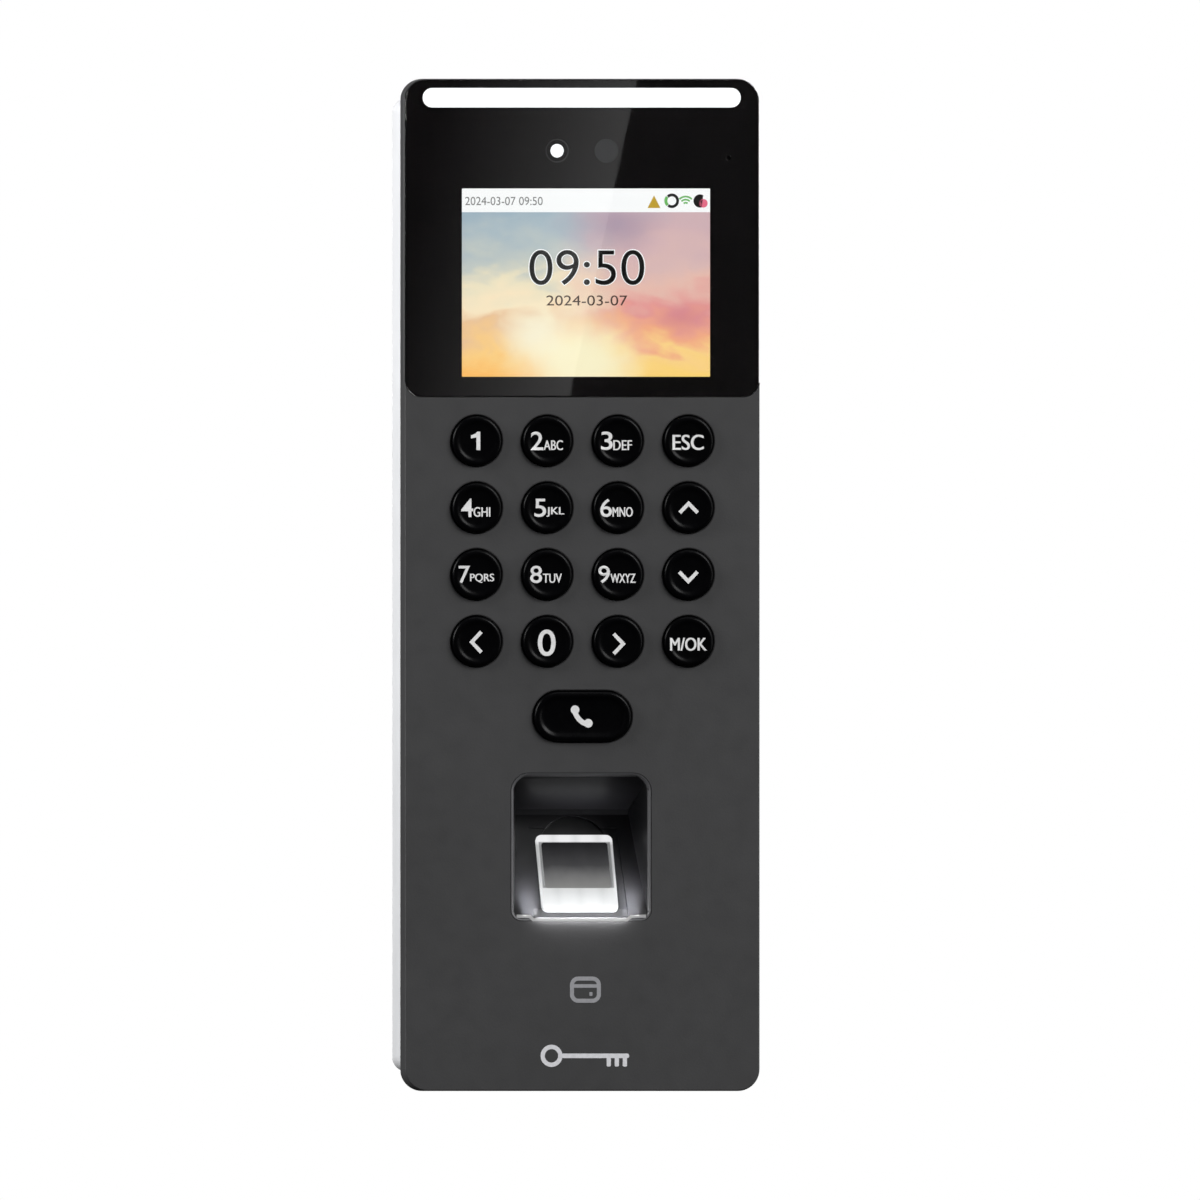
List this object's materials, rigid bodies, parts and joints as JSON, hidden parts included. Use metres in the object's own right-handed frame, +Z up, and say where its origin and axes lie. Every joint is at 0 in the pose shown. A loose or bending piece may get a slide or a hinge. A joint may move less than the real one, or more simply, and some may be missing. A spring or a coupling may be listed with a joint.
{
  "type": "fingerprint scanner terminal",
  "caption": "Slim wall-mounted access terminal with a glass-fronted display and camera, round keys, a call key, a slanted finger pocket and a card reader.",
  "frame": {"origin": "centre of the wall bracket's four screw holes, on the bracket's back face, which lies on the wall", "axes": "+Y into the wall, so the front faces -Y; +Z up along the body's height; +X to the right seen from the front"},
  "size_m": [0.0706, 0.0229, 0.1984],
  "materials": {
    "shell_plastic": "fine matt texture, dark grey",
    "cover_glass": "clear polished glass",
    "black_print": "black ink behind the glass",
    "black_foam": "foam adhesive tape",
    "diffuser": "milky white light guide",
    "white_board": "white solder mask",
    "led_chip": "yellow phosphor lamp chips",
    "clear_plastic": "frosted lens",
    "lens_glass": "coated lens",
    "black_plastic": "moulded black plastic",
    "circuit_board": "green solder mask",
    "gold_plate": "gold plated",
    "display_glass": "lit colour display",
    "display_frame": "pressed steel tray",
    "ribbon": "amber flexible circuit",
    "cradle_plastic": "satin dark grey",
    "sensor_glass": "dark optical prism",
    "copper": "bare copper track",
    "silicone": "soft silicone",
    "tinned_steel": "tinned sheet",
    "header_plastic": "natural nylon",
    "white_plastic": "moulded white plastic",
    "red_plastic": "moulded red plastic",
    "key_plastic": "glossy black",
    "housing_plastic": "light silver grey, fine texture",
    "bracket_steel": "zinc plated sheet steel",
    "screw_steel": "zinc plated"
  },
  "bodies": {
    "terminal": {"front_shell": "shell_plastic", "cover_glass": "cover_glass", "glass_mask": "black_print", "glass_tape": "black_foam", "light_bar": "diffuser", "light_board": "white_board", "light_leds": "led_chip", "fill_lens": "clear_plastic", "fill_led": "led_chip", "camera_lens": "lens_glass", "camera_body": "black_plastic", "camera_board": "circuit_board", "microphone": "gold_plate", "display_panel": "display_glass", "display_backlight": "display_frame", "display_ribbon": "ribbon", "finger_cradle": "cradle_plastic", "sensor_guide": "diffuser", "sensor_prism": "sensor_glass", "sensor_body": "black_plastic", "sensor_board": "circuit_board", "sensor_leds": "led_chip", "antenna_board": "circuit_board", "antenna_coil": "copper", "keypad_mat": "silicone", "keypad_board": "circuit_board", "main_board": "circuit_board", "processor_shield": "tinned_steel", "backup_cell": "tinned_steel", "relay": "black_plastic", "speaker": "black_plastic", "wire_headers": "header_plastic", "header_pins": "gold_plate", "tamper_switch": "black_plastic", "reset_switch": "black_plastic", "case_gasket": "silicone", "rear_housing": "housing_plastic", "wall_bracket": "bracket_steel", "case_screws": "screw_steel", "board_screws": "screw_steel", "security_screw": "screw_steel"},
    "key_1": {"key_1": "key_plastic"},
    "key_2": {"key_2": "key_plastic"},
    "key_3": {"key_3": "key_plastic"},
    "key_escape": {"key_escape": "key_plastic"},
    "key_4": {"key_4": "key_plastic"},
    "key_5": {"key_5": "key_plastic"},
    "key_6": {"key_6": "key_plastic"},
    "key_up": {"key_up": "key_plastic"},
    "key_7": {"key_7": "key_plastic"},
    "key_8": {"key_8": "key_plastic"},
    "key_9": {"key_9": "key_plastic"},
    "key_down": {"key_down": "key_plastic"},
    "key_left": {"key_left": "key_plastic"},
    "key_0": {"key_0": "key_plastic"},
    "key_right": {"key_right": "key_plastic"},
    "key_menu": {"key_menu": "key_plastic"},
    "key_call": {"key_call": "key_plastic"},
    "tamper_button": {"tamper_button": "white_plastic"},
    "reset_button": {"reset_button": "red_plastic"}
  },
  "joints": [
    {"name": "key_1_press", "type": "slide", "parent": "terminal", "child": "key_1", "axis": [0, 1, 0], "range_m": [0, 0.0009], "stiffness_N_per_m": 1600},
    {"name": "key_2_press", "type": "slide", "parent": "terminal", "child": "key_2", "axis": [0, 1, 0], "range_m": [0, 0.0009], "stiffness_N_per_m": 1600},
    {"name": "key_3_press", "type": "slide", "parent": "terminal", "child": "key_3", "axis": [0, 1, 0], "range_m": [0, 0.0009], "stiffness_N_per_m": 1600},
    {"name": "key_escape_press", "type": "slide", "parent": "terminal", "child": "key_escape", "axis": [0, 1, 0], "range_m": [0, 0.0009], "stiffness_N_per_m": 1600},
    {"name": "key_4_press", "type": "slide", "parent": "terminal", "child": "key_4", "axis": [0, 1, 0], "range_m": [0, 0.0009], "stiffness_N_per_m": 1600},
    {"name": "key_5_press", "type": "slide", "parent": "terminal", "child": "key_5", "axis": [0, 1, 0], "range_m": [0, 0.0009], "stiffness_N_per_m": 1600},
    {"name": "key_6_press", "type": "slide", "parent": "terminal", "child": "key_6", "axis": [0, 1, 0], "range_m": [0, 0.0009], "stiffness_N_per_m": 1600},
    {"name": "key_up_press", "type": "slide", "parent": "terminal", "child": "key_up", "axis": [0, 1, 0], "range_m": [0, 0.0009], "stiffness_N_per_m": 1600},
    {"name": "key_7_press", "type": "slide", "parent": "terminal", "child": "key_7", "axis": [0, 1, 0], "range_m": [0, 0.0009], "stiffness_N_per_m": 1600},
    {"name": "key_8_press", "type": "slide", "parent": "terminal", "child": "key_8", "axis": [0, 1, 0], "range_m": [0, 0.0009], "stiffness_N_per_m": 1600},
    {"name": "key_9_press", "type": "slide", "parent": "terminal", "child": "key_9", "axis": [0, 1, 0], "range_m": [0, 0.0009], "stiffness_N_per_m": 1600},
    {"name": "key_down_press", "type": "slide", "parent": "terminal", "child": "key_down", "axis": [0, 1, 0], "range_m": [0, 0.0009], "stiffness_N_per_m": 1600},
    {"name": "key_left_press", "type": "slide", "parent": "terminal", "child": "key_left", "axis": [0, 1, 0], "range_m": [0, 0.0009], "stiffness_N_per_m": 1600},
    {"name": "key_0_press", "type": "slide", "parent": "terminal", "child": "key_0", "axis": [0, 1, 0], "range_m": [0, 0.0009], "stiffness_N_per_m": 1600},
    {"name": "key_right_press", "type": "slide", "parent": "terminal", "child": "key_right", "axis": [0, 1, 0], "range_m": [0, 0.0009], "stiffness_N_per_m": 1600},
    {"name": "key_menu_press", "type": "slide", "parent": "terminal", "child": "key_menu", "axis": [0, 1, 0], "range_m": [0, 0.0009], "stiffness_N_per_m": 1600},
    {"name": "key_call_press", "type": "slide", "parent": "terminal", "child": "key_call", "axis": [0, 1, 0], "range_m": [0, 0.0009], "stiffness_N_per_m": 1600},
    {"name": "tamper_button_press", "type": "slide", "parent": "terminal", "child": "tamper_button", "axis": [0, -1, 0], "range_m": [0, 0.0009], "stiffness_N_per_m": 800},
    {"name": "reset_button_press", "type": "slide", "parent": "terminal", "child": "reset_button", "axis": [0, -1, 0], "range_m": [0, 0.0003], "stiffness_N_per_m": 4000}
  ]
}
